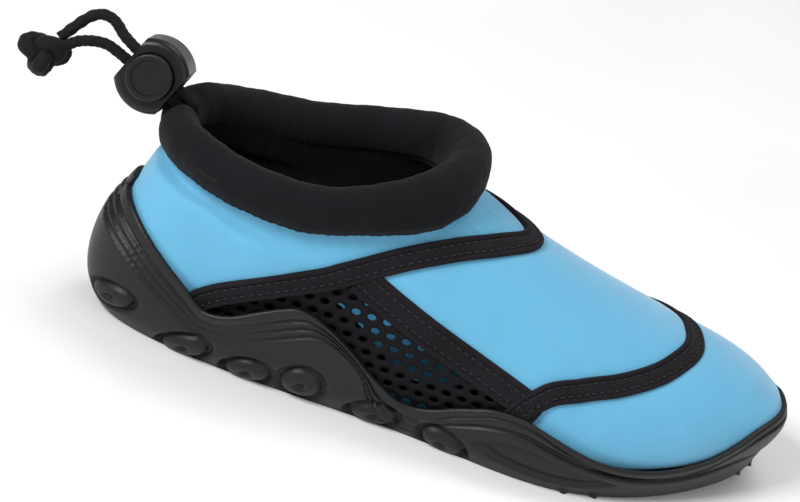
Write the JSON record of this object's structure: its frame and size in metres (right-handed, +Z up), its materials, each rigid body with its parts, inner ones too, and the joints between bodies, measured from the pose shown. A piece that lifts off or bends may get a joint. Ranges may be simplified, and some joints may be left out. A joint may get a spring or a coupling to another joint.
{
  "type": "water shoe",
  "caption": "Right-foot low-cut water shoe: blue neoprene upper with black trims and mesh, padded black collar with drawcord and cord lock, grooved rubber cup sole.",
  "frame": {"origin": "centre of the sole's footprint box, on the ground under the shoe; the drawcord tail behind the heel is left out of the box", "axes": "+X from the heel to the toe, +Y towards the inside of the right foot, +Z up"},
  "size_m": [0.2336, 0.0722, 0.0777],
  "materials": {
    "rubber": "matte moulded",
    "neoprene": "matte knit-faced",
    "mesh": "open black mesh",
    "trim": "matte webbing",
    "collar": "matte stretch knit",
    "lining": "matte knit",
    "sock": "plain woven",
    "footbed": "matte foam with knit face",
    "cord": "braided elastic",
    "lock_plastic": "satin moulded",
    "spring_steel": "bright drawn"
  },
  "bodies": {
    "shoe": {"outsole": "rubber", "lining": "lining", "strobel_sock": "sock", "footbed": "footbed", "quarter_panel": "neoprene", "vamp_panel": "neoprene", "toe_panel": "neoprene", "mesh_panel_lateral": "mesh", "mesh_panel_medial": "mesh", "trim_upper": "trim", "trim_vamp": "trim", "trim_side_lateral": "trim", "trim_side_medial": "trim", "collar_binding": "collar", "drawcord_loop": "cord", "cord_upper_strand": "cord", "cord_lower_strand": "cord", "cord_knot": "cord"},
    "cord_lock": {"lock_body": "lock_plastic", "lock_spring": "spring_steel"},
    "lock_button": {"lock_button": "lock_plastic"}
  },
  "joints": [
    {"name": "lock_slide", "type": "slide", "parent": "shoe", "child": "cord_lock", "axis": [-0.893, 0.297, 0.338], "range_m": [0, 0.004]},
    {"name": "button_press", "type": "slide", "parent": "cord_lock", "child": "lock_button", "axis": [0.2213, 0.9444, -0.2433], "range_m": [0, 0.002], "stiffness_N_per_m": 1200, "springref_m": -0.003, "deforming": ["lock_spring"]}
  ]
}
